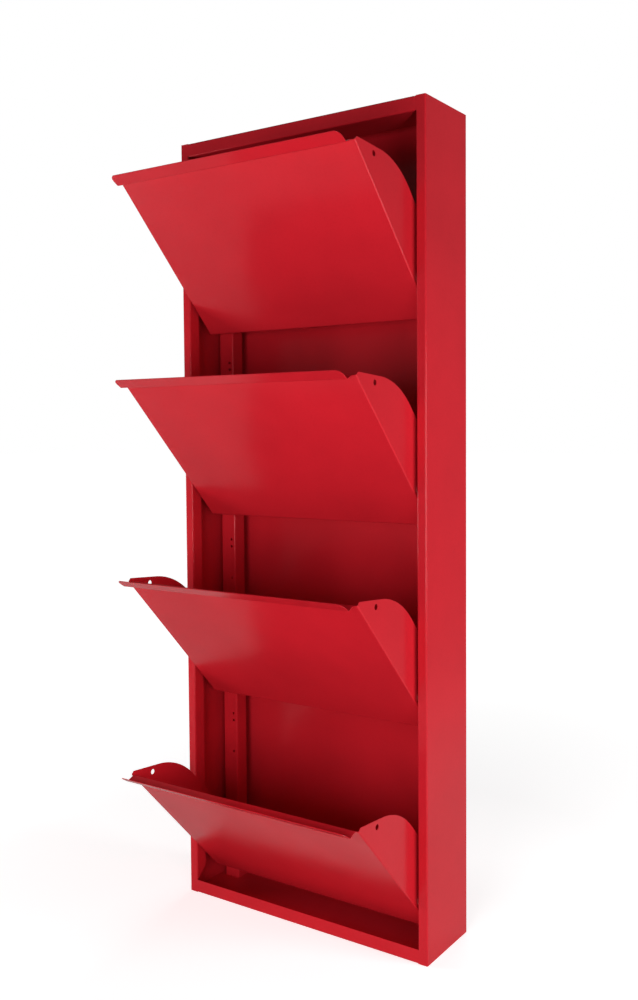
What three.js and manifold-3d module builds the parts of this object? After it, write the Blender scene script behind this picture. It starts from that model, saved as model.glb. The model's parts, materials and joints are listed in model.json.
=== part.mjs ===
// A slim steel shoe cabinet with four tip-out bins, shown with every bin open.
// Millimetres. +X right, -Y front, +Z up. The origin is the centre of the case's underside.
// Pieces are drawn in case coordinates, where y is the depth behind the front face, and one
// group at the end centres the case on y = 0. The pieces of a bin are drawn as if it were
// closed, with z above its bottom edge, and a group at the pivot tips them open.

import * as THREE from 'three';
import { mergeVertices } from 'three/addons/utils/BufferGeometryUtils.js';
import Module from 'manifold-3d';

const wasm = await Module();
wasm.setup();

// ---- Driving dimensions -------------------------------------------------------------------

const caseWidth = 500;
const caseDepth = 140;
const caseHeight = 1370;
const sheet = 1;
const bend = 2.5; // outer radius of a fold
const fit = 0.3; // gap between pieces that lie against each other

const flangeWidth = 17; // front flange of a side panel
const returnDepth = 24; // return behind that flange, which carries the pivots
const returnMitre = 23; // how far the ends of that return are cut back
const railHeight = 23; // front rails of the top and bottom panels
const topReturnDepth = 64;
const rearFlange = 14;
const wallHoleRadius = 4;
const wallHoleInset = 60;
const wallHoleDrop = 90;

const binCount = 4;
const railGap = 1.5; // between a closed bin and the front rail above or below it
const panelGap = 7; // between closed bins
const sideGap = 3.5; // between a cheek and the return beside it
const openAngle = 43.5;
const pivotDepth = 15;
const pivotHeight = 71.7; // above the bottom edge of the closed panel

const cheekSlopeStart = 8; // level stretch at the top of a cheek
const cheekSlopeEnd = 50;
const cheekSlopeDrop = 46;
const cheekHoleRadius = 4.5;
const cheekHoleDepth = 31.7;
const cheekHoleDrop = 42; // below the top edge of the panel
const heelRadius = 7; // rounded bottom edge of the panel
const heelFlange = 14;

const gripInset = 5.5; // from the side of the bin to the end of the grip
const gripReach = 15.5;
const gripReachAngle = 69.7; // from upright
const gripRise = 22.5;
const gripRiseAngle = 14.7;
const gripCorner = 12;

const panFlange = 12;
const panLip = 10;

const stopRailWidth = 32;
const stopRailDepth = 27;
const stopRailInset = 11; // clear of the side panel
const stopRailRearGap = 23; // between a stop rail and the back panel
const stopRailHoleRadius = 2.4;
const stopRailHoleInset = 8.5;
const stopRailHoleHeights = [149, 209, 222]; // above each pivot
const bufferThickness = 2;
const bufferWidth = 14;
const bufferHeight = 28;
const bufferGap = 0.5; // left when a bin is closed

const boltRadius = 2.5;
const boltHeadRadius = 4.8;
const boltHeadHeight = 2.6;
const boltSocketRadius = 1.7;
const boltTail = 2.5;
const nutRadius = 4.6;
const nutHeight = 4.5;
const spacerRadius = 6.5;

// ---- Dimensions that follow ---------------------------------------------------------------

const halfCase = caseWidth / 2;
const returnFace = halfCase - flangeWidth;
const halfBin = returnFace - sideGap;
const openRadians = THREE.MathUtils.degToRad(openAngle);
const binStackHeight = caseHeight - 2 * (railHeight + railGap);
const panelHeight = (binStackHeight - (binCount - 1) * panelGap) / binCount;
const binPitch = panelHeight + panelGap;
const lowestBin = railHeight + railGap;
const backPanelFront = caseDepth - 2 * sheet;
const stopRailFront = backPanelFront - stopRailRearGap - stopRailDepth;
const bufferFront = stopRailFront - bufferThickness;
const cheekDepth = bufferFront - bufferGap;
const clearHole = boltRadius + fit;

// Behind the pivot a cheek reaches as far as the buffers allow at any angle: the upright rear
// edge runs into an arc about the pivot, and the arc into a bevel that stands upright when the
// bin is open. The bevel starts at a depth on the bottom edge and ends in a point on the arc.
const swing = cheekDepth - pivotDepth;
const bevelFoot = pivotDepth
  + (swing - pivotHeight * Math.sin(openRadians)) / Math.cos(openRadians);
const bevelEnd = [
  pivotDepth + swing * Math.cos(openRadians),
  pivotHeight - swing * Math.sin(openRadians),
];

// Height of the pivot of a bin, counted from the top of the case.
function pivotZ(bin) {
  return lowestBin + (binCount - bin) * binPitch + pivotHeight;
}

// ---- Materials ----------------------------------------------------------------------------

const redPaint = new THREE.MeshStandardMaterial({ color: 0xb3141f, roughness: 0.35, metalness: 0.1 });
const zincSteel = new THREE.MeshStandardMaterial({ color: 0xb4b8bc, roughness: 0.35, metalness: 0.9 });
const nylon = new THREE.MeshStandardMaterial({ color: 0xe6e4dc, roughness: 0.5, metalness: 0 });
const rubber = new THREE.MeshStandardMaterial({ color: 0x1c1c1d, roughness: 0.85, metalness: 0 });

// ---- Solids -------------------------------------------------------------------------------

function toSolid(geometry) {
  const bare = geometry.clone();
  bare.deleteAttribute('normal');
  bare.deleteAttribute('uv');
  const merged = mergeVertices(bare, 1e-4);
  return new wasm.Manifold(new wasm.Mesh({
    numProp: 3,
    vertProperties: new Float32Array(merged.attributes.position.array),
    triVerts: new Uint32Array(merged.index.array),
  }));
}

function toGeometry(solid) {
  const mesh = solid.getMesh();
  const geometry = new THREE.BufferGeometry();
  geometry.setAttribute('position', new THREE.BufferAttribute(mesh.vertProperties, 3));
  geometry.setIndex(new THREE.BufferAttribute(mesh.triVerts, 1));
  geometry.computeVertexNormals();
  return geometry;
}

// The same piece for the other side of the cabinet.
function mirrored(geometry) {
  const copy = geometry.clone();
  copy.scale(-1, 1, 1);
  const corners = copy.index.array;
  for (let corner = 0; corner < corners.length; corner += 3) {
    [corners[corner], corners[corner + 1]] = [corners[corner + 1], corners[corner]];
  }
  copy.computeVertexNormals();
  return copy;
}

function block(x0, x1, y0, y1, z0, z1) {
  const geometry = new THREE.BoxGeometry(x1 - x0, y1 - y0, z1 - z0);
  geometry.translate((x0 + x1) / 2, (y0 + y1) / 2, (z0 + z1) / 2);
  return toSolid(geometry);
}

function toShape(points) {
  return new THREE.Shape(points.map(([x, y]) => new THREE.Vector2(x, y)));
}

function extrude(shape, depth) {
  return new THREE.ExtrudeGeometry(shape, { depth, bevelEnabled: false });
}

// An outline in x and y, extruded upwards.
function extrudeUp(shape, z0, z1) {
  return toSolid(extrude(shape, z1 - z0).translate(0, 0, z0));
}

// An outline in y and z, extruded along x.
function extrudeAcross(shape, x0, x1) {
  return toSolid(extrude(shape, x1 - x0)
    .rotateZ(Math.PI / 2)
    .rotateY(Math.PI / 2)
    .translate(x0, 0, 0));
}

// An outline in x and z, extruded along y.
function extrudeBack(shape, y0, y1) {
  return toSolid(extrude(shape, y1 - y0)
    .rotateX(Math.PI / 2)
    .translate(0, y1, 0));
}

function barAcross(radius, x0, x1, y, z, sides = 24) {
  return toSolid(new THREE.CylinderGeometry(radius, radius, x1 - x0, sides)
    .rotateZ(Math.PI / 2)
    .translate((x0 + x1) / 2, y, z));
}

function barBack(radius, x, y0, y1, z, sides = 16) {
  return toSolid(new THREE.CylinderGeometry(radius, radius, y1 - y0, sides)
    .translate(x, (y0 + y1) / 2, z));
}

// ---- Outlines -----------------------------------------------------------------------------

function leftOf(direction) {
  return new THREE.Vector2(-direction.y, direction.x);
}

function directions(corners) {
  return corners.slice(1).map((corner, index) => corner.clone().sub(corners[index]).normalize());
}

// Replaces each inner corner of a path by an arc. radiusAt gives the radius for the sign of
// the turn, which is positive to the left, and the point's distance to the left of the path.
function roundedPath(path, radiusAt) {
  const corners = path.map(([x, y]) => new THREE.Vector2(x, y));
  const headings = directions(corners);
  const points = [corners[0]];
  for (let index = 1; index < corners.length - 1; index += 1) {
    const arriving = headings[index - 1];
    const leaving = headings[index];
    const turn = Math.atan2(arriving.cross(leaving), arriving.dot(leaving));
    const side = Math.sign(turn);
    const radius = radiusAt(side);
    const start = corners[index].clone().addScaledVector(arriving, -radius * Math.tan(Math.abs(turn) / 2));
    const centre = start.clone().addScaledVector(leftOf(arriving), side * radius);
    const steps = Math.max(2, Math.ceil(Math.abs(turn) / (Math.PI / 8)));
    for (let step = 0; step <= steps; step += 1) {
      const spoke = leftOf(arriving).multiplyScalar(-side * radius);
      points.push(spoke.rotateAround(new THREE.Vector2(), (turn * step) / steps).add(centre));
    }
  }
  points.push(corners[corners.length - 1]);
  return points;
}

// The path moved to its left by a distance, with sharp corners.
function offsetPath(path, distance) {
  const corners = path.map(([x, y]) => new THREE.Vector2(x, y));
  const headings = directions(corners);
  return corners.map((corner, index) => {
    const arriving = headings[Math.max(index - 1, 0)];
    const leaving = headings[Math.min(index, headings.length - 1)];
    const bisector = leftOf(arriving).add(leftOf(leaving));
    const moved = corner.clone().addScaledVector(bisector, (2 * distance) / bisector.lengthSq());
    return [moved.x, moved.y];
  });
}

// The section of a folded sheet. The path runs along its right-hand face.
function foldedStrip(path, radius = bend) {
  const inside = radius - sheet;
  const right = roundedPath(path, (side) => (side > 0 ? radius : inside));
  const left = roundedPath(offsetPath(path, sheet), (side) => (side > 0 ? inside : radius));
  return new THREE.Shape([...right, ...left.reverse()]);
}

// ---- Case ---------------------------------------------------------------------------------

// The left side panel. Its return stops short of the front rails, and its ends are mitred.
function sidePanel() {
  const overlap = returnFace + bend + sheet;
  const railTop = caseHeight - railHeight;
  const behindReturn = returnDepth + sheet;
  const wall = foldedStrip([
    [-halfCase + rearFlange, caseDepth],
    [-halfCase, caseDepth],
    [-halfCase, 0],
    [-overlap, 0],
  ]);
  const frontReturn = foldedStrip([
    [-overlap - sheet, 0],
    [-returnFace, 0],
    [-returnFace, returnDepth],
  ]);
  const mitre = (z, direction) => extrudeAcross(toShape([
    [sheet, z],
    [behindReturn, z + direction * returnMitre],
    [behindReturn, z - direction],
    [sheet, z - direction],
  ]), -overlap, -returnFace + sheet);
  let solid = extrudeUp(wall, 0, caseHeight)
    .add(extrudeUp(frontReturn, railHeight, railTop))
    .add(block(-overlap - sheet, -returnFace, 0, sheet, 0, railHeight))
    .add(block(-overlap - sheet, -returnFace, 0, sheet, railTop, caseHeight))
    .subtract(mitre(railHeight, 1))
    .subtract(mitre(railTop, -1));
  for (let bin = 1; bin <= binCount; bin += 1) {
    solid = solid.subtract(
      barAcross(clearHole, -returnFace - 2 * sheet, -returnFace + sheet, pivotDepth, pivotZ(bin)),
    );
  }
  return solid;
}

// Cuts the ends of the top or bottom panel to fit between the side panels' flanges and folds.
function fitBetweenSides(panel) {
  const below = -sheet;
  const above = caseHeight + sheet;
  return [-1, 1].reduce((solid, side) => {
    const end = side * (halfCase + sheet);
    const cutTo = (x, y0, y1) => block(
      Math.min(side * x, end), Math.max(side * x, end), y0, y1, below, above,
    );
    return solid
      .subtract(cutTo(returnFace, -sheet, sheet))
      .subtract(cutTo(halfCase - rearFlange, caseDepth - sheet, caseDepth + sheet))
      .subtract(cutTo(halfCase - bend, -sheet, bend))
      .subtract(cutTo(halfCase - bend, caseDepth - bend, caseDepth + sheet));
  }, panel);
}

function topPanel() {
  const inside = halfCase - sheet;
  const railBottom = caseHeight - railHeight;
  const section = foldedStrip([
    [caseDepth, caseHeight - rearFlange],
    [caseDepth, caseHeight],
    [0, caseHeight],
    [0, railBottom],
    [topReturnDepth, railBottom],
  ]);
  const cornerCut = (side) => extrudeUp(toShape([
    [side * returnFace, -sheet],
    [side * returnFace, 0],
    [side * (returnFace - topReturnDepth), topReturnDepth],
    [side * (returnFace - topReturnDepth), topReturnDepth + sheet],
    [side * halfCase, topReturnDepth + sheet],
    [side * halfCase, -sheet],
  ]), railBottom - sheet, caseHeight - bend);
  return fitBetweenSides(extrudeAcross(section, -inside, inside))
    .subtract(cornerCut(-1))
    .subtract(cornerCut(1));
}

function bottomPanel() {
  const inside = halfCase - sheet;
  const section = foldedStrip([
    [0, railHeight],
    [0, 0],
    [caseDepth, 0],
    [caseDepth, rearFlange],
  ]);
  return fitBetweenSides(extrudeAcross(section, -inside, inside));
}

// The back panel lies against the rear flanges, clear of the folds around it.
function backPanel() {
  const half = halfCase - bend - fit;
  const back = backPanelFront + sheet;
  let solid = block(-half, half, backPanelFront, back, bend + fit, caseHeight - bend - fit);
  for (const x of [-halfCase + wallHoleInset, halfCase - wallHoleInset]) {
    for (const z of [wallHoleDrop, caseHeight - wallHoleDrop]) {
      solid = solid.subtract(barBack(wallHoleRadius, x, backPanelFront - sheet, back + sheet, z));
    }
  }
  return solid;
}

// The left stop rail, an upright channel that stands free of the side and back panels.
function stopRail() {
  const outer = -halfCase + sheet + stopRailInset;
  const inner = outer + stopRailWidth;
  const rear = stopRailFront + stopRailDepth;
  const section = foldedStrip([
    [outer, rear],
    [outer, stopRailFront],
    [inner, stopRailFront],
    [inner, rear],
  ]);
  let solid = extrudeUp(section, sheet, caseHeight - sheet);
  for (let bin = 1; bin <= binCount; bin += 1) {
    for (const height of stopRailHoleHeights) {
      solid = solid.subtract(barBack(
        stopRailHoleRadius,
        inner - stopRailHoleInset,
        stopRailFront - sheet,
        stopRailFront + 2 * sheet,
        pivotZ(bin) + height,
        10,
      ));
    }
  }
  return solid;
}

// A pad on the stop rail, level with the pivot, where the cheek meets it open and closed.
function buffer() {
  const cheekCentre = halfBin - sheet / 2;
  return block(
    -cheekCentre - bufferWidth / 2,
    -cheekCentre + bufferWidth / 2,
    bufferFront,
    stopRailFront,
    -bufferHeight / 2,
    bufferHeight / 2,
  );
}

// ---- Pivots, drawn on the left with the pivot's axis at y = 0 and z = 0 -------------------

function pivotBolt() {
  const underHead = -(halfBin - sheet - fit);
  const end = -(returnFace + sheet + fit + nutHeight + boltTail);
  const dome = [
    [0, 0],
    [boltHeadRadius, 0],
    [boltHeadRadius, boltHeadHeight * 0.3],
    [boltHeadRadius * 0.85, boltHeadHeight * 0.72],
    [boltHeadRadius * 0.5, boltHeadHeight],
    [0, boltHeadHeight],
  ];
  const head = toSolid(new THREE.LatheGeometry(dome.map(([r, h]) => new THREE.Vector2(r, h)), 20)
    .rotateZ(-Math.PI / 2)
    .translate(underHead, 0, 0));
  const headFace = underHead + boltHeadHeight;
  return head
    .add(barAcross(boltRadius, end, underHead + sheet, 0, 0, 20))
    .subtract(barAcross(boltSocketRadius, headFace - boltHeadHeight / 2, headFace + sheet, 0, 0, 6));
}

function spacer() {
  const outer = -(returnFace - fit);
  const inner = -(halfBin + fit);
  return barAcross(spacerRadius, outer, inner, 0, 0)
    .subtract(barAcross(clearHole, outer - sheet, inner + sheet, 0, 0));
}

function lockNut() {
  const inner = -(returnFace + sheet + fit);
  const outer = inner - nutHeight;
  return barAcross(nutRadius, outer, inner, 0, 0, 6)
    .subtract(barAcross(clearHole, outer - sheet, inner + sheet, 0, 0, 20));
}

// ---- Bins ---------------------------------------------------------------------------------

// The side view of a bin: rounded heel, flat floor, bevel, arc, upright rear edge, and a top
// edge that falls back from the panel and curves down into the rear edge.
function cheekOutline() {
  const slopeTurn = Math.atan2(cheekSlopeDrop, cheekSlopeEnd - cheekSlopeStart);
  const curveTurn = Math.PI / 2 - slopeTurn;
  const curveRadius = (cheekDepth - cheekSlopeEnd) / (1 - Math.cos(curveTurn));
  const curveEnd = panelHeight - cheekSlopeDrop - curveRadius * Math.sin(curveTurn);
  const shape = new THREE.Shape();
  shape.moveTo(0, heelRadius);
  shape.absarc(heelRadius, heelRadius, heelRadius, Math.PI, 1.5 * Math.PI, false);
  shape.lineTo(bevelFoot, 0);
  shape.absarc(pivotDepth, pivotHeight, swing, -openRadians, 0, false);
  shape.absarc(cheekDepth - curveRadius, curveEnd, curveRadius, 0, curveTurn, false);
  shape.lineTo(cheekSlopeStart, panelHeight);
  shape.lineTo(0, panelHeight);
  return shape;
}

// The plan of a bin whose faces are moved in by a distance, open at the rear.
function planOutline(inset) {
  const half = halfBin - inset;
  const beyond = cheekDepth + sheet;
  const corners = [[-half, beyond], [-half, inset], [half, inset], [half, beyond]];
  return new THREE.Shape(roundedPath(corners, () => bend - inset));
}

// What lies inside the sheet at the front and the heel, seen from the side.
function hollowOutline() {
  const beyond = panelHeight + cheekDepth;
  const corners = [[sheet, beyond], [sheet, sheet], [beyond, sheet]];
  const path = roundedPath(corners, () => heelRadius - sheet);
  return new THREE.Shape([...path, new THREE.Vector2(beyond, beyond)]);
}

// The grip along the top of the panel: out and slightly up, then steeply up.
function grip() {
  const reach = THREE.MathUtils.degToRad(gripReachAngle);
  const rise = THREE.MathUtils.degToRad(gripRiseAngle);
  const trough = [-gripReach * Math.sin(reach), panelHeight + gripReach * Math.cos(reach)];
  const tip = [trough[0] - gripRise * Math.sin(rise), trough[1] + gripRise * Math.cos(rise)];
  const root = [0, panelHeight];
  const section = foldedStrip([tip, trough, root, [0, panelHeight - 4 * bend]]);
  const half = halfBin - gripInset;
  const top = tip[1] + sheet;
  const corners = [[half, 0], [half, top], [-half, top], [-half, 0]];
  const front = new THREE.Shape(roundedPath(corners, () => gripCorner));
  return extrudeAcross(section, -half, half)
    .intersect(extrudeBack(front, tip[0] - sheet, 2 * bend));
}

function binShell() {
  const inside = halfBin - sheet;
  const body = extrudeUp(planOutline(0), 0, panelHeight)
    .intersect(extrudeAcross(cheekOutline(), -halfBin, halfBin));
  const hollow = extrudeUp(planOutline(sheet), -sheet, panelHeight + sheet)
    .intersect(extrudeAcross(hollowOutline(), -halfBin, halfBin));
  const cheekHoleZ = panelHeight - cheekHoleDrop;
  return body
    .subtract(hollow)
    .subtract(block(-inside, inside, heelFlange, 2 * cheekDepth, -sheet, 2 * sheet))
    .subtract(barAcross(cheekHoleRadius, -halfBin - sheet, halfBin + sheet, cheekHoleDepth, cheekHoleZ))
    .subtract(barAcross(clearHole, -halfBin - sheet, halfBin + sheet, pivotDepth, pivotHeight))
    .add(grip());
}

// The tray that closes the bottom of a bin: a floor on the heel flange, a bevelled rear wall
// with an upright lip, and side flanges along the cheeks.
function toePan() {
  const inset = sheet + fit;
  const edge = offsetPath([
    [0, 0],
    [bevelFoot, 0],
    bevelEnd,
    [bevelEnd[0], bevelEnd[1] + panLip],
  ], inset);
  edge[0][0] = heelRadius;
  const half = halfBin - sheet - fit;
  const seam = offsetPath(edge, sheet / 2);
  seam[0][0] += sheet;
  seam[seam.length - 1][1] -= sheet;
  const sideFlange = toShape([...seam, ...offsetPath(seam, panFlange).reverse()]);
  return extrudeAcross(foldedStrip(edge), -half, half)
    .add(extrudeAcross(sideFlange, -half, -half + sheet))
    .add(extrudeAcross(sideFlange, half - sheet, half));
}

// ---- Assembly -----------------------------------------------------------------------------

const cabinet = new THREE.Group();
cabinet.position.y = -caseDepth / 2;

function place(name, geometry, material, parent = cabinet) {
  const mesh = new THREE.Mesh(geometry, material);
  mesh.name = name;
  parent.add(mesh);
  return mesh;
}

// Places a piece that is drawn on the left, and its mirror image on the right.
function placePair(name, solid, material, y = 0, z = 0) {
  const geometry = toGeometry(solid);
  place(`${name}_left`, geometry, material).position.set(0, y, z);
  place(`${name}_right`, mirrored(geometry), material).position.set(0, y, z);
}

placePair('side_panel', sidePanel(), redPaint);
place('top_panel', toGeometry(topPanel()), redPaint);
place('bottom_panel', toGeometry(bottomPanel()), redPaint);
place('back_panel', toGeometry(backPanel()), redPaint);
placePair('stop_rail', stopRail(), redPaint);

const shellGeometry = toGeometry(binShell());
const panGeometry = toGeometry(toePan());

for (let bin = 1; bin <= binCount; bin += 1) {
  const tipped = new THREE.Group();
  tipped.position.set(0, pivotDepth, pivotZ(bin));
  tipped.rotation.x = openRadians;
  cabinet.add(tipped);
  place(`bin_${bin}_shell`, shellGeometry, redPaint, tipped).position.set(0, -pivotDepth, -pivotHeight);
  place(`bin_${bin}_toe_pan`, panGeometry, redPaint, tipped).position.set(0, -pivotDepth, -pivotHeight);
  placePair(`bin_${bin}_pivot_bolt`, pivotBolt(), zincSteel, pivotDepth, pivotZ(bin));
  placePair(`bin_${bin}_spacer`, spacer(), nylon, pivotDepth, pivotZ(bin));
  placePair(`bin_${bin}_lock_nut`, lockNut(), zincSteel, pivotDepth, pivotZ(bin));
  placePair(`bin_${bin}_buffer`, buffer(), rubber, 0, pivotZ(bin));
}

const model = new THREE.Group();
model.add(cabinet);

export default model;
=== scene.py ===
"""A slim red sheet-steel shoe cabinet with four tip-out bins, finished on top of its CAD frame."""

import json
import math

import bmesh
import bpy
from bpy.props import FloatProperty, FloatVectorProperty, IntProperty, PointerProperty
from bpy.types import Operator, Panel, PropertyGroup
from mathutils import Matrix, Vector


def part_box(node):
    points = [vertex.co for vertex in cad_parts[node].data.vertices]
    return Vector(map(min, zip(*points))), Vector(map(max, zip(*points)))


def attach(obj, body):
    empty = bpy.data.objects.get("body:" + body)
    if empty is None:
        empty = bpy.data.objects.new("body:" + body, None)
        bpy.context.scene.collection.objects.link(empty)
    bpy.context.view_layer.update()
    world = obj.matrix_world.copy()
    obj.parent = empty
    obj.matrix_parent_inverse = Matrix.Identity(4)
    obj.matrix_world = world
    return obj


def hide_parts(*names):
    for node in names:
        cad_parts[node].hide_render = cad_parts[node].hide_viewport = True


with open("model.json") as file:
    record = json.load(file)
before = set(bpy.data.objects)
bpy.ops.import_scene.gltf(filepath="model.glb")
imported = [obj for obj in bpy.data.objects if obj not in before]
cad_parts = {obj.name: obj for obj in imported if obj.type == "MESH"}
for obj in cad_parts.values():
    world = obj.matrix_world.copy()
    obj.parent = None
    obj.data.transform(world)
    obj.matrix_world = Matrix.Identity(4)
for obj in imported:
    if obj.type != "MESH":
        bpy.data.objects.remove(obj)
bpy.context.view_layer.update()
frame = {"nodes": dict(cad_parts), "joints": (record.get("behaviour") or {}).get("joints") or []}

bl_info = {
    "name": "Tip-out shoe cabinet",
    "version": (1, 0, 0),
    "blender": (4, 5, 0),
    "location": "3D View > Sidebar > Cabinet",
    "description": "Finishes a sheet-steel shoe cabinet with tip-out bins",
    "category": "Object",
}

BINS = (1, 2, 3, 4)
CASE_PANELS = ("side_panel_left", "side_panel_right", "top_panel", "bottom_panel", "back_panel")

# The pivot points of the bins, from the lowest to the highest.
PIVOTS = sorted((Vector(joint["pos_m"]) for joint in frame["joints"]), key=lambda point: point.z)
PIVOT_PITCH = PIVOTS[1].z - PIVOTS[0].z

MM = 0.001
WELD = 0.004 * MM  # corners of a CAD node's loose triangles that are closer than this are one
FLAT = math.radians(0.6)  # faces that meet at less than this are one
CORNER_STEPS = 6  # steps round the small corners of a buffer and its ribs

# Places of the colour sockets of a mix node, whose names its other sockets share.
MIX_FIRST = 6
MIX_SECOND = 7
MIX_RESULT = 2

# Name, place, aim and power in watts of each soft light.
LIGHTS = (
    ("front", (0.5, -2.0, 0.6), (0.1, 0, 0.65), 18.5),
    ("side", (1.75, 0.2, 0.7), (0.25, 0, 0.68), 16.4),
    ("front_side", (1.8, -1.5, 0.7), (0.25, 0, 0.68), 8.4),
    ("left", (-2.2, -0.9, 0.6), (-0.25, 0, 0.6), 25.5),
    ("rear", (-0.3, 1.3, 2.5), (0, 0, 1.1), 9),
)


# ---- Settings ------------------------------------------------------------------------------


class PaintSettings(PropertyGroup):
    """Gloss powder coat on steel sheet"""

    colour: FloatVectorProperty(
        name="Colour", description="Colour of the powder coat", subtype="COLOR",
        size=3, min=0, max=1, default=(0.60, 0.0145, 0.025),
    )
    roughness: FloatProperty(
        name="Roughness", description="Mean roughness of the coat",
        subtype="FACTOR", min=0, max=1, default=0.2,
    )
    peel_width: FloatProperty(
        name="Peel width", description="Distance between the dimples of the orange peel",
        subtype="DISTANCE", unit="LENGTH", default=0.0022,
    )
    peel_height: FloatProperty(
        name="Peel height", description="Depth of the orange peel",
        subtype="DISTANCE", unit="LENGTH", precision=6, default=0.000012,
    )
    wave_width: FloatProperty(
        name="Wave width", description="Distance between the slow waves of the thin sheet",
        subtype="DISTANCE", unit="LENGTH", default=0.11,
    )
    wave_height: FloatProperty(
        name="Wave height", description="Height of the slow waves of the thin sheet",
        subtype="DISTANCE", unit="LENGTH", precision=6, default=0.00022,
    )


class SheetSettings(PropertyGroup):
    """Edges and folds of the steel sheet"""

    edge_radius: FloatProperty(
        name="Edge radius", description="Rounding that the coat gives to a cut edge",
        subtype="DISTANCE", unit="LENGTH", precision=5, default=0.00022,
    )
    edge_angle: FloatProperty(
        name="Edge angle", description="Edges sharper than this are cut edges, and the rest are folds",
        subtype="ANGLE", default=math.radians(42),
    )
    channel_bend: FloatProperty(
        name="Channel bend", description="Outer radius of the folds of a stop rail",
        subtype="DISTANCE", unit="LENGTH", precision=4, default=0.0025,
    )
    thickness: FloatProperty(
        name="Thickness", description="Thickness of the sheet",
        subtype="DISTANCE", unit="LENGTH", precision=4, default=0.001,
    )
    hole_radius: FloatProperty(
        name="Rail hole radius", description="Radius of the small holes in a stop rail",
        subtype="DISTANCE", unit="LENGTH", precision=4, default=0.0024,
    )
    hole_inset: FloatProperty(
        name="Rail hole inset", description="From the inner face of a stop rail to its holes",
        subtype="DISTANCE", unit="LENGTH", precision=4, default=0.0085,
    )
    hole_heights: FloatVectorProperty(
        name="Rail hole heights", description="Heights of the small holes above each pivot",
        subtype="XYZ_LENGTH", unit="LENGTH", size=3, default=(0.149, 0.209, 0.222),
    )


class HardwareSettings(PropertyGroup):
    """Bolts, spacers, lock nuts and buffers"""

    zinc: FloatVectorProperty(
        name="Zinc", description="Colour of the zinc plate", subtype="COLOR",
        size=3, min=0, max=1, default=(0.62, 0.64, 0.67),
    )
    nylon: FloatVectorProperty(
        name="Nylon", description="Colour of the spacers", subtype="COLOR",
        size=3, min=0, max=1, default=(0.78, 0.76, 0.70),
    )
    rubber: FloatVectorProperty(
        name="Rubber", description="Colour of the buffers", subtype="COLOR",
        size=3, min=0, max=1, default=(0.018, 0.018, 0.019),
    )
    shank_radius: FloatProperty(
        name="Shank radius", description="Radius of the shank of a bolt",
        subtype="DISTANCE", unit="LENGTH", precision=4, default=0.0025,
    )
    bore_radius: FloatProperty(
        name="Bore radius", description="Radius of the bore of a spacer and of a lock nut",
        subtype="DISTANCE", unit="LENGTH", precision=4, default=0.0027,
    )
    head_height: FloatProperty(
        name="Head height", description="Height of the head of a bolt",
        subtype="DISTANCE", unit="LENGTH", precision=4, default=0.0026,
    )
    thread_pitch: FloatProperty(
        name="Thread pitch", description="Pitch of the thread on the bolts",
        subtype="DISTANCE", unit="LENGTH", precision=4, default=0.0008,
    )
    thread_length: FloatProperty(
        name="Thread length", description="Length of the thread from the tip of a bolt",
        subtype="DISTANCE", unit="LENGTH", precision=4, default=0.008,
    )
    rounds: IntProperty(
        name="Round steps", description="Steps round a turned piece", min=12, max=96, default=48,
    )
    ribs: IntProperty(
        name="Ribs", description="Ribs across the face of a buffer", min=0, max=12, default=5,
    )
    rib_height: FloatProperty(
        name="Rib height", description="How far the ribs of a buffer stand out of its face",
        subtype="DISTANCE", unit="LENGTH", precision=4, default=0.0003,
    )


class StageSettings(PropertyGroup):
    """Floor, lights and camera"""

    floor: FloatVectorProperty(
        name="Floor", description="Colour of the floor", subtype="COLOR",
        size=3, min=0, max=1, default=(0.86, 0.86, 0.86),
    )
    floor_reach: FloatProperty(
        name="Floor reach", description="From the middle of the floor to its edges",
        subtype="DISTANCE", unit="LENGTH", default=30,
    )
    light_size: FloatProperty(
        name="Light size", description="Side of the soft square lights",
        subtype="DISTANCE", unit="LENGTH", default=0.8,
    )
    ambient: FloatProperty(
        name="Ambient", description="Strength of the light from all round",
        min=0, max=2, default=0.042,
    )
    reflected: FloatProperty(
        name="Reflected backdrop", description="Strength of the backdrop in gloss, glass and metal",
        min=0, max=1, default=0.18,
    )
    floor_lift: FloatProperty(
        name="Floor lift", description="Glow that brings the floor by the cabinet up to the backdrop",
        min=0, max=1, default=0.6,
    )
    floor_fade: FloatVectorProperty(
        name="Floor fade", description="From where to where the floor turns into the backdrop",
        subtype="XYZ_LENGTH", unit="LENGTH", size=2, default=(0.7, 2.4),
    )
    camera_place: FloatVectorProperty(
        name="Camera place", description="Where the camera stands",
        subtype="XYZ_LENGTH", unit="LENGTH", size=3, default=(1.0216, -1.4885, 0.8577),
    )
    camera_turn: FloatVectorProperty(
        name="Camera turn", description="Azimuth, downward tilt and roll of the camera",
        subtype="EULER", unit="ROTATION", size=3,
        default=(math.radians(34.486), math.radians(2.702), math.radians(-0.425)),
    )
    lens: FloatProperty(
        name="Lens", description="Focal length for a 36 mm frame",
        subtype="DISTANCE_CAMERA", default=37.174,
    )
    shift: FloatProperty(
        name="Lens shift", description="Upward shift of the lens, as a share of the frame",
        default=-0.0225,
    )


# ---- Materials -----------------------------------------------------------------------------


class Nodes:
    """Adds and joins the nodes of one tree."""

    def __init__(self, tree):
        self.tree = tree
        self.column = 0

    def add(self, kind, inputs=None, **settings):
        """A node with its settings, and its inputs as values or as sockets to join."""
        node = self.tree.nodes.new(kind)
        node.location = (self.column, 0)
        self.column += 180
        for name, value in settings.items():
            setattr(node, name, value)
        for key, value in (inputs or {}).items():
            socket = node.inputs[key]
            if isinstance(value, bpy.types.NodeSocket):
                self.tree.links.new(value, socket)
            else:
                socket.default_value = value
        return node

    def join(self, source, target):
        """Joins an output socket to an input socket."""
        self.tree.links.new(source, target)


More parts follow.
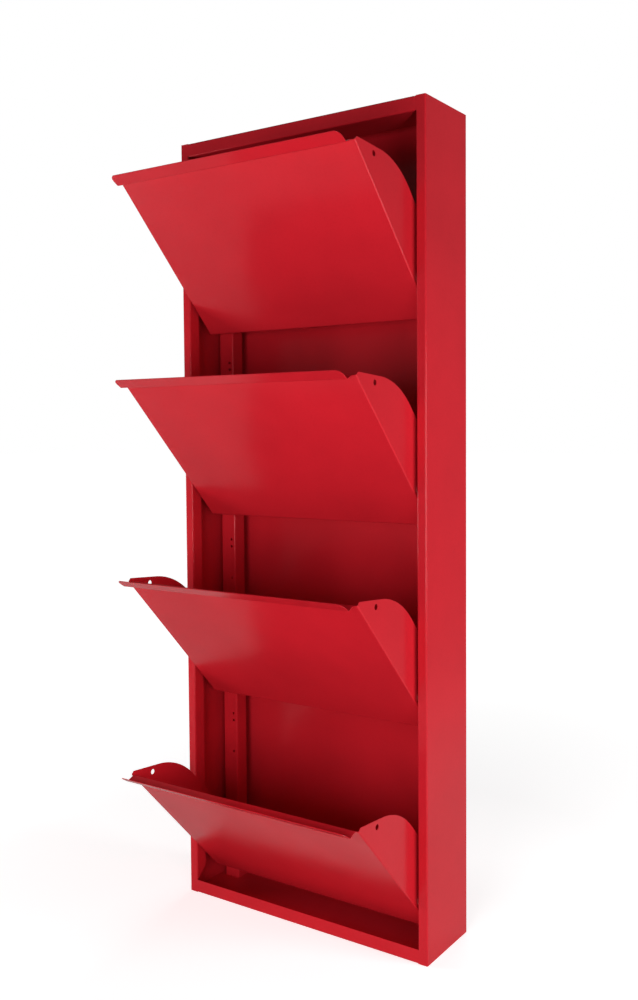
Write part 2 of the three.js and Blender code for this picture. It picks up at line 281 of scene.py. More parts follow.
def new_material(name):
    """An empty node material and its nodes, with a Principled shader on its output."""
    material = bpy.data.materials.new(name)
    material.use_nodes = True
    material.node_tree.nodes.clear()
    nodes = Nodes(material.node_tree)
    shader = nodes.add("ShaderNodeBsdfPrincipled")
    output = nodes.add("ShaderNodeOutputMaterial")
    nodes.join(shader.outputs["BSDF"], output.inputs["Surface"])
    place = nodes.add("ShaderNodeTexCoord").outputs["Object"]
    return material, nodes, shader, place


def noise(nodes, place, width, detail=2.0, roughness=0.5, distortion=0.0):
    """A noise whose features are about width metres apart."""
    return nodes.add(
        "ShaderNodeTexNoise",
        {"Vector": place, "Scale": 1 / width, "Detail": detail, "Roughness": roughness,
         "Distortion": distortion},
    ).outputs["Fac"]


def ranged(nodes, value, low, high, start=0.3, end=0.7):
    """A noise value spread from low to high."""
    return nodes.add(
        "ShaderNodeMapRange",
        {"Value": value, "From Min": start, "From Max": end, "To Min": low, "To Max": high},
    ).outputs["Result"]


def between(nodes, factor, first, second):
    """A colour between two colours."""
    mix = nodes.add("ShaderNodeMix", data_type="RGBA")
    nodes.join(factor, mix.inputs["Factor"])
    mix.inputs[MIX_FIRST].default_value = (*first, 1)
    mix.inputs[MIX_SECOND].default_value = (*second, 1)
    return mix.outputs[MIX_RESULT]


def bumped(nodes, height, distance, strength=1.0, under=None):
    """A bump of a height map, on top of another bump."""
    bump = nodes.add("ShaderNodeBump", {"Height": height, "Distance": distance, "Strength": strength})
    if under:
        nodes.join(under, bump.inputs["Normal"])
    return bump.outputs["Normal"]


def scaled(colour, share):
    """A colour made darker or lighter by a share."""
    return tuple(channel * share for channel in colour)


def powder_coat(name, settings):
    """Gloss powder coat: slow sheet waves, orange peel, a little unevenness in colour and gloss."""
    material, nodes, shader, place = new_material(name)
    cloud = noise(nodes, place, width=0.16, detail=3)
    tone = ranged(nodes, cloud, 0, 1)
    colour = between(nodes, tone, scaled(settings.colour, 0.93), scaled(settings.colour, 1.05))
    speckle = noise(nodes, place, width=4 * MM)
    share = ranged(nodes, speckle, low=0.0, high=0.10, start=0.52, end=0.75)
    fleck = nodes.add("ShaderNodeMix", {"Factor": share}, data_type="RGBA", blend_type="MULTIPLY")
    nodes.join(colour, fleck.inputs[MIX_FIRST])
    fleck.inputs[MIX_SECOND].default_value = (0.55, 0.5, 0.5, 1)
    nodes.join(fleck.outputs[MIX_RESULT], shader.inputs["Base Color"])
    smear = noise(nodes, place, width=0.05, detail=4, roughness=0.6)
    gloss = ranged(nodes, smear, settings.roughness - 0.035, settings.roughness + 0.045)
    nodes.join(gloss, shader.inputs["Roughness"])
    wave = noise(nodes, place, settings.wave_width, detail=1)
    peel = noise(nodes, place, settings.peel_width)
    slow = bumped(nodes, wave, settings.wave_height)
    nodes.join(bumped(nodes, peel, settings.peel_height, under=slow), shader.inputs["Normal"])
    shader.inputs["IOR"].default_value = 1.48
    shader.inputs["Specular IOR Level"].default_value = 0.18
    return material


def zinc_plate(settings):
    """Bright zinc plate with tool marks and a faint iridescent haze."""
    material, nodes, shader, place = new_material("zinc_plate")
    haze = noise(nodes, place, width=3.5 * MM, detail=3)
    bluish = [channel * share for channel, share in zip(settings.zinc, (0.82, 0.86, 0.95))]
    colour = between(nodes, ranged(nodes, haze, 0, 1), bluish, settings.zinc)
    nodes.join(colour, shader.inputs["Base Color"])
    shader.inputs["Metallic"].default_value = 1.0
    nodes.join(ranged(nodes, haze, 0.24, 0.4), shader.inputs["Roughness"])
    marks = noise(nodes, place, width=0.6 * MM)
    nodes.join(bumped(nodes, marks, distance=0.01 * MM), shader.inputs["Normal"])
    return material


def natural_nylon(settings):
    """Natural nylon with a waxy surface."""
    material, nodes, shader, place = new_material("natural_nylon")
    cloud = noise(nodes, place, width=6 * MM)
    colour = between(nodes, ranged(nodes, cloud, 0, 1), scaled(settings.nylon, 0.9), settings.nylon)
    nodes.join(colour, shader.inputs["Base Color"])
    nodes.join(ranged(nodes, cloud, 0.38, 0.5), shader.inputs["Roughness"])
    shader.inputs["Subsurface Weight"].default_value = 0.1
    shader.inputs["Subsurface Radius"].default_value = (0.002, 0.002, 0.0015)
    grain = noise(nodes, place, width=0.7 * MM)
    nodes.join(bumped(nodes, grain, distance=0.01 * MM), shader.inputs["Normal"])
    return material


def moulded_rubber(settings):
    """Matt black rubber with a fine moulded grain and a little dust."""
    material, nodes, shader, place = new_material("moulded_rubber")
    dust = noise(nodes, place, width=10 * MM, detail=4)
    colour = between(nodes, ranged(nodes, dust, 0, 1), settings.rubber, scaled(settings.rubber, 2.2))
    nodes.join(colour, shader.inputs["Base Color"])
    nodes.join(ranged(nodes, dust, 0.7, 0.9), shader.inputs["Roughness"])
    grain = noise(nodes, place, width=0.5 * MM)
    nodes.join(bumped(nodes, grain, distance=0.03 * MM), shader.inputs["Normal"])
    return material


def material_named(name, make, settings):
    """The material of that name, made the first time that it is asked for."""
    return bpy.data.materials.get(name) or make(settings)


def red_coat(name):
    """The powder coat of that name, made the first time that it is asked for."""
    return bpy.data.materials.get(name) or powder_coat(name, bpy.context.scene.cabinet_paint)


# ---- Meshes --------------------------------------------------------------------------------


def add_object(name, mesh):
    """An object with that mesh, in the scene, at the origin."""
    piece = bpy.data.objects.new(name, mesh)
    bpy.context.collection.objects.link(piece)
    return piece


def finish_piece(piece, body, *nodes):
    """Makes a finished piece stand for its CAD nodes, which are hidden, and ride on their body."""
    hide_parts(*nodes)
    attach(piece, body)


def settle(piece):
    """Applies the modifiers of a piece, so that a plain mesh is left."""
    depsgraph = bpy.context.evaluated_depsgraph_get()
    mesh = bpy.data.meshes.new_from_object(piece.evaluated_get(depsgraph), depsgraph=depsgraph)
    mesh.name = piece.name
    piece.modifiers.clear()
    piece.data = mesh
    return piece


def rounded_sheet(name, node, material):
    """A welded copy of a CAD node, with rounded cut edges and smooth folds."""
    sheet = bpy.context.scene.cabinet_sheet
    mesh = bpy.data.meshes.new(name)
    work = bmesh.new()
    work.from_mesh(frame["nodes"][node].data)
    bmesh.ops.remove_doubles(work, verts=work.verts, dist=WELD)
    bmesh.ops.dissolve_limit(work, angle_limit=FLAT, verts=work.verts, edges=work.edges)
    work.to_mesh(mesh)
    work.free()
    mesh.materials.clear()
    mesh.materials.append(material)
    piece = add_object(name, mesh)
    edges = piece.modifiers.new("Cut edges", "BEVEL")
    edges.width = sheet.edge_radius
    edges.segments = 2
    edges.limit_method = "ANGLE"
    edges.angle_limit = sheet.edge_angle
    edges.use_clamp_overlap = True
    edges.miter_outer = "MITER_ARC"
    settle(piece)
    smooth_by_angle(piece.data, sheet.edge_angle)
    normals = piece.modifiers.new("Flat faces", "WEIGHTED_NORMAL")
    normals.keep_sharp = True
    normals.weight = 100
    return settle(piece)


def smooth_by_angle(mesh, angle):
    """Shades a mesh smooth, and marks its edges sharper than an angle."""
    work = bmesh.new()
    work.from_mesh(mesh)
    for face in work.faces:
        face.smooth = True
    for edge in work.edges:
        edge.smooth = not (edge.is_manifold and edge.calc_face_angle(0) > angle)
    work.to_mesh(mesh)
    work.free()


def turned(name, profile, steps):
    """A solid turned about the x axis from (x, radius) points that start and end on the axis."""
    work = bmesh.new()
    angles = [2 * math.pi * step / steps for step in range(steps)]
    rings = []
    for along, radius in profile:
        spokes = angles if radius else angles[:1]
        rings.append([
            work.verts.new((along, radius * math.cos(angle), radius * math.sin(angle)))
            for angle in spokes
        ])
    for before, after in zip(rings, rings[1:]):
        bridge(work, before, after)
    return finished_mesh(name, work)


def bridge(work, before, after):
    """Faces between two rings, either of which may be a single point."""
    count = max(len(before), len(after))
    for step in range(count):
        following = (step + 1) % count
        corners = [before[step % len(before)], before[following % len(before)],
                   after[following % len(after)], after[step % len(after)]]
        unique = list(dict.fromkeys(corners))
        if len(unique) > 2:
            work.faces.new(unique)


def finished_mesh(name, work, angle=math.radians(35)):
    """A mesh from bmesh work, with its faces outwards and shaded smooth by angle."""
    bmesh.ops.recalc_face_normals(work, faces=work.faces)
    mesh = bpy.data.meshes.new(name)
    work.to_mesh(mesh)
    work.free()
    smooth_by_angle(mesh, angle)
    return mesh


# ---- Geometry node trees -------------------------------------------------------------------


def new_tree(name, *sockets):
    """A geometry node tree with named inputs, and its group input and output nodes."""
    tree = bpy.data.node_groups.new(name, "GeometryNodeTree")
    tree.interface.new_socket("Geometry", in_out="INPUT", socket_type="NodeSocketGeometry")
    for label, kind in sockets:
        tree.interface.new_socket(label, in_out="INPUT", socket_type=f"NodeSocket{kind}")
    tree.interface.new_socket("Geometry", in_out="OUTPUT", socket_type="NodeSocketGeometry")
    nodes = Nodes(tree)
    return tree, nodes, nodes.add("NodeGroupInput").outputs


def close_tree(nodes, geometry, material):
    """Ends a tree in Realize Instances and Set Material."""
    real = nodes.add("GeometryNodeRealizeInstances", {"Geometry": geometry})
    painted = nodes.add("GeometryNodeSetMaterial", {"Geometry": real.outputs[0], "Material": material})
    output = nodes.add("NodeGroupOutput")
    nodes.join(painted.outputs[0], output.inputs[0])


def run_tree(name, tree, values):
    """Runs a tree on an empty mesh with its inputs set, and returns the plain piece."""
    piece = add_object(name, bpy.data.meshes.new(name))
    modifier = piece.modifiers.new(tree.name, "NODES")
    modifier.node_group = tree
    for item in tree.interface.items_tree:
        if item.in_out == "INPUT" and item.name in values:
            modifier[item.identifier] = values[item.name]
    return settle(piece)


def pivot_rows_tree():
    """Copies a piece to both ends of every pivot: as it is on the left, turned round on the right."""
    tree, nodes, given = new_tree(
        "Pivot rows",
        ("Piece", "Object"), ("Rows", "Int"), ("Row Pitch", "Float"),
        ("Lowest Pivot", "Vector"), ("Material", "Material"),
    )
    offset = nodes.add("ShaderNodeCombineXYZ", {"Z": given["Row Pitch"]})
    line = nodes.add(
        "GeometryNodeMeshLine",
        {"Count": given["Rows"], "Start Location": given["Lowest Pivot"], "Offset": offset.outputs[0]},
    )
    piece = nodes.add("GeometryNodeObjectInfo", {"Object": given["Piece"]}, transform_space="ORIGINAL")
    both = nodes.add("GeometryNodeJoinGeometry")
    for turn in (0.0, math.pi):
        copies = nodes.add(
            "GeometryNodeInstanceOnPoints",
            {"Points": line.outputs[0], "Instance": piece.outputs["Geometry"]},
        )
        copies.inputs["Rotation"].default_value = (0, 0, turn)
        nodes.join(copies.outputs[0], both.inputs[0])
    close_tree(nodes, both.outputs[0], given["Material"])
    return tree


def folded_channel_tree():
    """A pair of upright folded channels with rows of small holes in their webs."""
    tree, nodes, given = new_tree(
        "Folded channels",
        ("Corner", "Vector"), ("Width", "Float"), ("Depth", "Float"), ("Length", "Float"),
        ("Bend", "Float"), ("Thickness", "Float"),
        ("Hole Radius", "Float"), ("Hole Inset", "Float"), ("Hole Heights", "Vector"),
        ("Lowest Pivot", "Vector"), ("Rows", "Int"), ("Row Pitch", "Float"),
        ("Material", "Material"),
    )

    def maths(operation, first, second=0.0):
        return nodes.add("ShaderNodeMath", {0: first, 1: second}, operation=operation).outputs[0]

    # The path along the outer face: forwards, across the web and back again.
    corners = 4
    middle = (corners - 1) / 2
    line = nodes.add("GeometryNodeCurvePrimitiveLine")
    points = nodes.add("GeometryNodeResampleCurve", {"Curve": line.outputs[0], "Count": corners})
    number = nodes.add("GeometryNodeInputIndex").outputs[0]
    far_side = maths("GREATER_THAN", number, middle)
    off_middle = maths("ABSOLUTE", maths("SUBTRACT", number, middle))
    rear_end = maths("GREATER_THAN", off_middle, 1.0)
    point = nodes.add(
        "ShaderNodeCombineXYZ",
        {"X": maths("MULTIPLY", far_side, given["Width"]),
         "Y": maths("MULTIPLY", rear_end, given["Depth"])},
    )
    path = nodes.add(
        "GeometryNodeSetPosition", {"Geometry": points.outputs[0], "Position": point.outputs[0]},
    )
    fold_steps = 8
    bent = nodes.add(
        "GeometryNodeFilletCurve",
        {"Curve": path.outputs[0], "Radius": given["Bend"], "Count": fold_steps}, mode="POLY",
    )
    wire = nodes.add("GeometryNodeCurveToMesh", {"Curve": bent.outputs[0]})
    upwards = nodes.add("ShaderNodeCombineXYZ", {"Z": given["Length"]})
    wall = nodes.add(
        "GeometryNodeExtrudeMesh",
        {"Mesh": wire.outputs[0], "Offset": upwards.outputs[0], "Offset Scale": 1.0}, mode="EDGES",
    )

    # The metal lies inside the path. The outer skin turns over and closes the shell.
    inner = nodes.add(
        "GeometryNodeExtrudeMesh",
        {"Mesh": wall.outputs["Mesh"], "Offset Scale": given["Thickness"], "Individual": False},
        mode="FACES",
    )
    turned_over = nodes.add("GeometryNodeFlipFaces", {"Mesh": wall.outputs["Mesh"]})
    shell = nodes.add("GeometryNodeJoinGeometry")
    nodes.join(inner.outputs["Mesh"], shell.inputs[0])
    nodes.join(turned_over.outputs[0], shell.inputs[0])
    seam = 0.02 * MM
    closed = nodes.add("GeometryNodeMergeByDistance", {"Geometry": shell.outputs[0], "Distance": seam})
    placed = nodes.add(
        "GeometryNodeTransform", {"Geometry": closed.outputs[0], "Translation": given["Corner"]},
    )

    # The holes: one row of cutters for each height above a pivot.
    corner = nodes.add("ShaderNodeSeparateXYZ", {"Vector": given["Corner"]})
    pivot = nodes.add("ShaderNodeSeparateXYZ", {"Vector": given["Lowest Pivot"]})
    heights = nodes.add("ShaderNodeSeparateXYZ", {"Vector": given["Hole Heights"]})
    across = maths("SUBTRACT", maths("ADD", corner.outputs["X"], given["Width"]), given["Hole Inset"])
    pitch = nodes.add("ShaderNodeCombineXYZ", {"Z": given["Row Pitch"]})
    hole_steps = 24
    cutter_length = maths("MULTIPLY", given["Thickness"], 8)
    cutter = nodes.add(
        "GeometryNodeMeshCylinder",
        {"Vertices": hole_steps, "Radius": given["Hole Radius"], "Depth": cutter_length},
    )
    cutters = nodes.add("GeometryNodeJoinGeometry")
    for height in heights.outputs:
        start = nodes.add(
            "ShaderNodeCombineXYZ",
            {"X": across, "Y": corner.outputs["Y"], "Z": maths("ADD", pivot.outputs["Z"], height)},
        )
        row = nodes.add(
            "GeometryNodeMeshLine",
            {"Count": given["Rows"], "Start Location": start.outputs[0], "Offset": pitch.outputs[0]},
        )
        copies = nodes.add(
            "GeometryNodeInstanceOnPoints",
            {"Points": row.outputs[0], "Instance": cutter.outputs["Mesh"]},
        )
        copies.inputs["Rotation"].default_value = (math.pi / 2, 0, 0)
        nodes.join(copies.outputs[0], cutters.inputs[0])
    real = nodes.add("GeometryNodeRealizeInstances", {"Geometry": cutters.outputs[0]})
    drilled = nodes.add("GeometryNodeMeshBoolean", operation="DIFFERENCE", solver="EXACT")
    nodes.join(placed.outputs[0], drilled.inputs["Mesh 1"])
    nodes.join(real.outputs[0], drilled.inputs["Mesh 2"])

    # The channel of the other side.
    mirror = nodes.add("GeometryNodeTransform", {"Geometry": drilled.outputs["Mesh"], "Scale": (-1, 1, 1)})
    righted = nodes.add("GeometryNodeFlipFaces", {"Mesh": mirror.outputs[0]})
    pair = nodes.add("GeometryNodeJoinGeometry")
    nodes.join(drilled.outputs["Mesh"], pair.inputs[0])
    nodes.join(righted.outputs[0], pair.inputs[0])
    close_tree(nodes, pair.outputs[0], given["Material"])
    return tree


# ---- Pieces --------------------------------------------------------------------------------


def both_sides(kind):
    """The CAD nodes of a small piece that every bin has on its left and right."""
    return [f"bin_{number}_{kind}_{side}" for number in BINS for side in ("left", "right")]


def row_values(piece, material):
    """The inputs of the pivot rows tree."""
    return {
        "Piece": piece, "Rows": len(PIVOTS), "Row Pitch": PIVOT_PITCH,
        "Lowest Pivot": PIVOTS[0], "Material": material,
    }


def place_rows(name, mesh, material, kind):
    """Copies a piece, drawn on the left with its pivot at the origin, to every pivot."""
    master = add_object(f"{name}_master", mesh)
    tree = bpy.data.node_groups.get("Pivot rows") or pivot_rows_tree()
    piece = run_tree(name, tree, row_values(master, material))
    bpy.data.objects.remove(master)
    finish_piece(piece, "case", *both_sides(kind))


def local_box(node):
    """The box of a left-hand CAD node of the lowest bin, with its pivot at the origin."""
    low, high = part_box(node)
    return low - PIVOTS[0], high - PIVOTS[0]


class CABINET_OT_case(Operator):
    """Make the side, top, bottom and back panels of the case"""

    bl_idname = "cabinet.case"
    bl_label = "Case panels"

    def execute(self, context):
        for node in CASE_PANELS:
            finish_piece(rounded_sheet(f"{node}_sheet", node, red_coat("red_case_coat")), "case", node)
        return {"FINISHED"}


class CABINET_OT_stop_rails(Operator):
    """Make the pair of upright channels that stop the bins"""

    bl_idname = "cabinet.stop_rails"
    bl_label = "Stop rails"

    def execute(self, context):
        sheet = context.scene.cabinet_sheet
        low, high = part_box("stop_rail_left")
        rails = run_tree("stop_rails", folded_channel_tree(), {
            "Corner": low, "Width": high.x - low.x, "Depth": high.y - low.y, "Length": high.z - low.z,
            "Bend": sheet.channel_bend, "Thickness": sheet.thickness,
            "Hole Radius": sheet.hole_radius, "Hole Inset": sheet.hole_inset,
            "Hole Heights": sheet.hole_heights,
            "Lowest Pivot": PIVOTS[0], "Rows": len(PIVOTS), "Row Pitch": PIVOT_PITCH,
            "Material": red_coat("red_rail_coat"),
        })
        smooth_by_angle(rails.data, sheet.edge_angle)
        finish_piece(rails, "case", "stop_rail_left", "stop_rail_right")
        return {"FINISHED"}


class CABINET_OT_bins(Operator):
    """Make the shells of the four bins, each with its cheeks and grip"""

    bl_idname = "cabinet.bins"
    bl_label = "Bin shells"

    def execute(self, context):
        for number in BINS:
            node = f"bin_{number}_shell"
            sheet = rounded_sheet(f"{node}_sheet", node, red_coat("red_bin_coat"))
            finish_piece(sheet, f"bin_{number}", node)
        return {"FINISHED"}


class CABINET_OT_toe_pans(Operator):
    """Make the trays that close the bottoms of the bins"""

    bl_idname = "cabinet.toe_pans"
    bl_label = "Toe pans"

    def execute(self, context):
        for number in BINS:
            node = f"bin_{number}_toe_pan"
            sheet = rounded_sheet(f"{node}_sheet", node, red_coat("red_bin_coat"))
            finish_piece(sheet, f"bin_{number}", node)
        return {"FINISHED"}


class CABINET_OT_bolts(Operator):
    """Make the button-head bolts that the bins turn on"""

    bl_idname = "cabinet.bolts"
    bl_label = "Pivot bolts"

    def execute(self, context):
        hardware = context.scene.cabinet_hardware
        low, high = local_box("bin_4_pivot_bolt_left")
        pitch = hardware.thread_pitch
        shank = hardware.shank_radius
        root = shank - 0.6 * pitch
        tip = 0.5 * MM
        profile = [(low.x, 0), (low.x, root * 0.8), (low.x + tip, root)]
        turn = low.x + tip
        while turn + pitch < low.x + hardware.thread_length:
            profile += [(turn + pitch / 2, shank), (turn + pitch, root)]
            turn += pitch
        run_out = 0.3 * MM
        head_radius = high.z
        head_height = hardware.head_height
        under_head = high.x - head_height
        profile += [(turn + run_out, shank), (under_head, shank), (under_head, head_radius * 0.96)]
        rim = 0.14  # share of the head's height under its dome
        crown = 0.46  # share of the head's radius that is flat on top
        for share in (0.0, 0.12, 0.28, 0.45, 0.62, 0.78, 0.9, 0.97, 1.0):
            angle = share * math.pi / 2
            profile.append((
                under_head + head_height * (rim + (1 - rim) * math.sin(angle)),
                head_radius * (crown + (1 - crown) * math.cos(angle)),
            ))
        socket = head_radius * 0.36
        floor = high.x - 0.55 * head_height
        point = 0.4 * MM
        profile += [(high.x, socket), (floor, socket), (floor - point, 0)]
        mesh = turned("bolt", profile, hardware.rounds)
        make_socket_hexagonal(mesh, socket, floor - point / 4)
        place_rows("pivot_bolts", mesh, material_named("zinc_plate", zinc_plate, hardware), "pivot_bolt")
        return {"FINISHED"}


def make_socket_hexagonal(mesh, radius, beyond):
    """Draws the round socket in a bolt's head in to a hexagon."""
    for vertex in mesh.vertices:
        across = math.hypot(vertex.co.y, vertex.co.z)
        if vertex.co.x > beyond and abs(across - radius) < 0.001 * MM:
            angle = math.atan2(vertex.co.z, vertex.co.y) % (math.pi / 3) - math.pi / 6
            share = math.cos(math.pi / 6) / math.cos(angle)
            vertex.co.y *= share
            vertex.co.z *= share


class CABINET_OT_spacers(Operator):
    """Make the nylon spacers between the bins and the case"""

    bl_idname = "cabinet.spacers"
    bl_label = "Spacers"

    def execute(self, context):
        hardware = context.scene.cabinet_hardware
        low, high = local_box("bin_4_spacer_left")
        bore = hardware.bore_radius
        outer = high.z
        chamfer = 0.35 * MM
        rim = [
            (low.x, bore + chamfer), (low.x, outer - chamfer), (low.x + chamfer, outer),
            (high.x - chamfer, outer), (high.x, outer - chamfer), (high.x, bore + chamfer),
            (high.x - chamfer, bore), (low.x + chamfer, bore),
        ]
        mesh = turned_ring("spacer", rim, hardware.rounds)
        place_rows("spacers", mesh, material_named("natural_nylon", natural_nylon, hardware), "spacer")
        return {"FINISHED"}


def turned_ring(name, rim, steps, radius_at=None):
    """A ring turned about the x axis from a closed outline of (x, radius) points.

    radius_at may change the radius from one angle to the next.
    """
    work = bmesh.new()
    rings = []
    for along, radius in rim:
        ring = []
        for step in range(steps):
            angle = 2 * math.pi * step / steps
            reach = radius_at(angle, radius) if radius_at else radius
            ring.append(work.verts.new((along, reach * math.cos(angle), reach * math.sin(angle))))
        rings.append(ring)
    for before, after in zip(rings, rings[1:] + rings[:1]):
        bridge(work, before, after)
    return finished_mesh(name, work, math.radians(28))


class CABINET_OT_nuts(Operator):
    """Make the lock nuts behind the returns of the case"""

    bl_idname = "cabinet.nuts"
    bl_label = "Lock nuts"

    def execute(self, context):
        hardware = context.scene.cabinet_hardware
        low, high = local_box("bin_4_lock_nut_left")
        corner = max(high.y, high.z)
        flat = corner * math.cos(math.pi / 6)
        bore = hardware.bore_radius
        collar = flat * 0.9
        start = 0 if high.y >= high.z else math.pi / 6
        collar_height = 1.2 * MM

        def hexagonal(angle, radius):
            offset = (angle + start) % (math.pi / 3) - math.pi / 6
            return min(radius, flat / math.cos(offset)) if radius > collar * 1.001 else radius

        rim = [
            (high.x, bore + 0.3 * MM), (high.x, flat), (high.x - 0.45 * MM, corner),
            (low.x + collar_height + 0.5 * MM, corner), (low.x + collar_height, flat),
            (low.x + collar_height - 0.1 * MM, collar), (low.x + 0.4 * MM, collar),
            (low.x, collar - 0.5 * MM), (low.x, bore + 0.2 * MM), (low.x + 0.2 * MM, bore),
            (high.x - 0.3 * MM, bore),
        ]
        mesh = turned_ring("lock_nut", rim, hardware.rounds, hexagonal)
        place_rows("lock_nuts", mesh, material_named("zinc_plate", zinc_plate, hardware), "lock_nut")
        return {"FINISHED"}


class CABINET_OT_buffers(Operator):
    """Make the ribbed rubber pads on the stop rails"""

    bl_idname = "cabinet.buffers"
    bl_label = "Buffers"

    def execute(self, context):
        hardware = context.scene.cabinet_hardware
        pads = rows_of_pads(ribbed_pad(hardware, *local_box("bin_4_buffer_left")))
        pads.data.materials.clear()
        pads.data.materials.append(material_named("moulded_rubber", moulded_rubber, hardware))
        finish_piece(pads, "case", *both_sides("buffer"))
        return {"FINISHED"}


def ribbed_pad(settings, low, high):
    """A flat pad with rounded corners and ribs across its front face."""
    work = bmesh.new()
    corner = 2.2 * MM
    edge = 0.4 * MM
    margin = 2.5 * MM
    span = high - low
    centre = (low + high) / 2

    def outline(inset):
        points = []
        for quarter, (sx, sz) in enumerate(((1, 1), (-1, 1), (-1, -1), (1, -1))):
            for step in range(CORNER_STEPS + 1):
                angle = (quarter + step / CORNER_STEPS) * math.pi / 2
                points.append((
                    centre.x + sx * (span.x / 2 - corner) + (corner - inset) * math.cos(angle),
                    centre.z + sz * (span.z / 2 - corner) + (corner - inset) * math.sin(angle),
                ))
        return points

    face = low.y + settings.rib_height
    levels = [(0.0, high.y), (0.0, face + edge), (edge * 0.3, face + edge * 0.3), (edge, face)]
    rings = [[work.verts.new((x, y, z)) for x, z in outline(inset)] for inset, y in levels]
    for before, after in zip(rings, rings[1:]):
        bridge(work, before, after)
    work.faces.new(rings[0])
    work.faces.new(rings[-1])
    for number in range(settings.ribs):
        level = low.z + span.z * (number + 1) / (settings.ribs + 1)
        add_rib(work, low.x + margin, high.x - margin, face, level, settings.rib_height)
    return finished_mesh("buffer", work)


def add_rib(work, left, right, face, level, rise):
    """A low rounded rib, sunk a little into the front face of a pad."""
    half = 0.9 * MM
    sunk = 0.05 * MM
    sides = []
    for x in (left, right):
        ring = []
        for step in range(CORNER_STEPS + 1):
            angle = math.pi * step / CORNER_STEPS
            y = face + sunk - (sunk + rise) * math.sin(angle)
            ring.append(work.verts.new((x, y, level + half * math.cos(angle))))
        sides.append(ring)
    near, far = sides
    for step in range(CORNER_STEPS):
        work.faces.new((near[step], near[step + 1], far[step + 1], far[step]))
    work.faces.new((near[0], far[0], far[-1], near[-1]))
    work.faces.new(near)
    work.faces.new(far)


def rows_of_pads(mesh):
    """Copies the left-hand pad to every pivot and mirrors it to the right."""
    work = bmesh.new()
    for pivot in PIVOTS:
        for side in (1, -1):
            part = mesh.copy()
            part.transform(Matrix.Translation(pivot) @ Matrix.Diagonal((side, 1, 1, 1)))
            if side < 0:
                part.flip_normals()
            work.from_mesh(part)
            bpy.data.meshes.remove(part)
    joined = bpy.data.meshes.new("buffers")
    work.to_mesh(joined)
    work.free()
    return add_object("buffers", joined)


# ---- Stage ---------------------------------------------------------------------------------


def seen_backdrop(nodes, reflected):
    """1 for rays straight from the camera, and a share of it for rays by gloss or glass."""
    rays = nodes.add("ShaderNodeLightPath").outputs
    bounced = nodes.add(
        "ShaderNodeMath", {0: rays["Is Glossy Ray"], 1: rays["Is Transmission Ray"]}, operation="ADD",
    )
    return nodes.add(
        "ShaderNodeMath", {0: bounced.outputs[0], 1: reflected, 2: rays["Is Camera Ray"]},
        operation="MULTIPLY_ADD", use_clamp=True,
    ).outputs[0]


def make_floor(settings):
    """A wide pale floor that keeps the cabinet's shadow and meets the white backdrop."""
    work = bmesh.new()
    bmesh.ops.create_grid(work, x_segments=8, y_segments=8, size=settings.floor_reach)
    mesh = bpy.data.meshes.new("floor")
    work.to_mesh(mesh)
    work.free()
    floor = add_object("floor", mesh)
    material = bpy.data.materials.new("pale_floor")
    material.use_nodes = True
    material.node_tree.nodes.clear()
    nodes = Nodes(material.node_tree)
    place = nodes.add("ShaderNodeTexCoord").outputs["Object"]
    cloud = noise(nodes, place, width=0.6)
    colour = between(nodes, ranged(nodes, cloud, 0, 1), scaled(settings.floor, 0.985), settings.floor)
    matt = nodes.add("ShaderNodeBsdfDiffuse", {"Color": colour})
    glow = nodes.add("ShaderNodeEmission", {"Color": (1, 1, 1, 1)})
    away = nodes.add("ShaderNodeVectorMath", {0: place}, operation="LENGTH").outputs["Value"]
    start, end = settings.floor_fade
    fade = ranged(nodes, away, settings.floor_lift, 1.0, start, end)
    seen = seen_backdrop(nodes, settings.reflected)
    lift = nodes.add("ShaderNodeMath", {0: seen, 1: fade}, operation="MULTIPLY")
    nodes.join(lift.outputs[0], glow.inputs["Strength"])
    both = nodes.add("ShaderNodeAddShader", {0: matt.outputs[0], 1: glow.outputs[0]})
    output = nodes.add("ShaderNodeOutputMaterial")
    nodes.join(both.outputs[0], output.inputs["Surface"])
    mesh.materials.append(material)


def make_world(settings):
    """A white backdrop, which lights the cabinet less than it shows."""
    world = bpy.data.worlds.new("studio")
    world.use_nodes = True
    world.node_tree.nodes.clear()
    nodes = Nodes(world.node_tree)
    strength = nodes.add(
        "ShaderNodeMapRange",
        {"Value": seen_backdrop(nodes, settings.reflected), "To Min": settings.ambient, "To Max": 1.0},
    )
    light = nodes.add(
        "ShaderNodeBackground", {"Color": (1, 1, 1, 1), "Strength": strength.outputs["Result"]},
    )
    output = nodes.add("ShaderNodeOutputWorld")
    nodes.join(light.outputs[0], output.inputs["Surface"])
    bpy.context.scene.world = world


def add_light(name, place, aim, size, power):
    """A soft square light that points at a place on the cabinet."""
    lamp = bpy.data.lights.new(name, "AREA")
    lamp.shape = "SQUARE"
    lamp.size = size
    lamp.energy = power
    light = bpy.data.objects.new(name, lamp)
    light.location = place
    light.rotation_euler = (Vector(aim) - Vector(place)).to_track_quat("-Z", "Y").to_euler()
    light.visible_camera = False
    bpy.context.collection.objects.link(light)


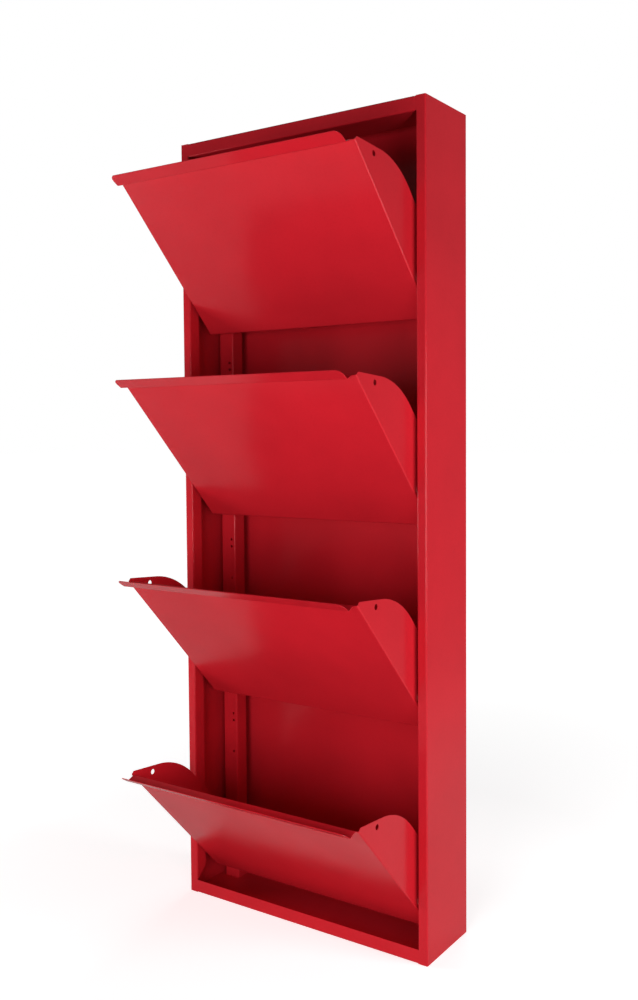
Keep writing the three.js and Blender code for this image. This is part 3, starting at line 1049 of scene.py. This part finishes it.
def make_camera(settings):
    """The camera, looking a little down at the cabinet from its front right."""
    azimuth, down, roll = settings.camera_turn
    data = bpy.data.cameras.new("camera")
    data.sensor_width = 36
    data.lens = settings.lens
    data.shift_y = settings.shift
    camera = bpy.data.objects.new("camera", data)
    turn = Matrix.Rotation(azimuth, 4, "Z") @ Matrix.Rotation(math.pi / 2 - down, 4, "X")
    turn = turn @ Matrix.Rotation(roll, 4, "Z")
    camera.matrix_world = Matrix.Translation(settings.camera_place) @ turn
    bpy.context.collection.objects.link(camera)
    bpy.context.scene.camera = camera


class CABINET_OT_stage(Operator):
    """Make the floor, the backdrop, the soft lights and the camera"""

    bl_idname = "cabinet.stage"
    bl_label = "Stage"

    def execute(self, context):
        settings = context.scene.cabinet_stage
        make_camera(settings)
        make_floor(settings)
        make_world(settings)
        for name, place, aim, power in LIGHTS:
            add_light(name, place, aim, settings.light_size, power)
        context.scene.view_settings.view_transform = "Standard"
        return {"FINISHED"}


# ---- Add-on --------------------------------------------------------------------------------

STEPS = (
    CABINET_OT_stage, CABINET_OT_case, CABINET_OT_stop_rails, CABINET_OT_bins, CABINET_OT_toe_pans,
    CABINET_OT_bolts, CABINET_OT_spacers, CABINET_OT_nuts, CABINET_OT_buffers,
)
SETTINGS = {
    "cabinet_paint": PaintSettings,
    "cabinet_sheet": SheetSettings,
    "cabinet_hardware": HardwareSettings,
    "cabinet_stage": StageSettings,
}


class CABINET_PT_sidebar(Panel):
    """Steps and settings of the shoe cabinet"""

    bl_label = "Tip-out shoe cabinet"
    bl_idname = "CABINET_PT_sidebar"
    bl_space_type = "VIEW_3D"
    bl_region_type = "UI"
    bl_category = "Cabinet"

    def draw(self, context):
        for step in STEPS:
            self.layout.operator(step.bl_idname)
        for name, group in SETTINGS.items():
            box = self.layout.box()
            box.label(text=group.__doc__)
            for field in group.__annotations__:
                box.prop(getattr(context.scene, name), field)


def register():
    for kind in (*SETTINGS.values(), *STEPS, CABINET_PT_sidebar):
        bpy.utils.register_class(kind)
    for name, group in SETTINGS.items():
        setattr(bpy.types.Scene, name, PointerProperty(type=group))


def unregister():
    for name in SETTINGS:
        delattr(bpy.types.Scene, name)
    for kind in (CABINET_PT_sidebar, *reversed(STEPS), *reversed(SETTINGS.values())):
        bpy.utils.unregister_class(kind)


def main():
    register()
    for step in STEPS:
        area, name = step.bl_idname.split(".")
        getattr(getattr(bpy.ops, area), name)()


if __name__ == "__main__":
    main()
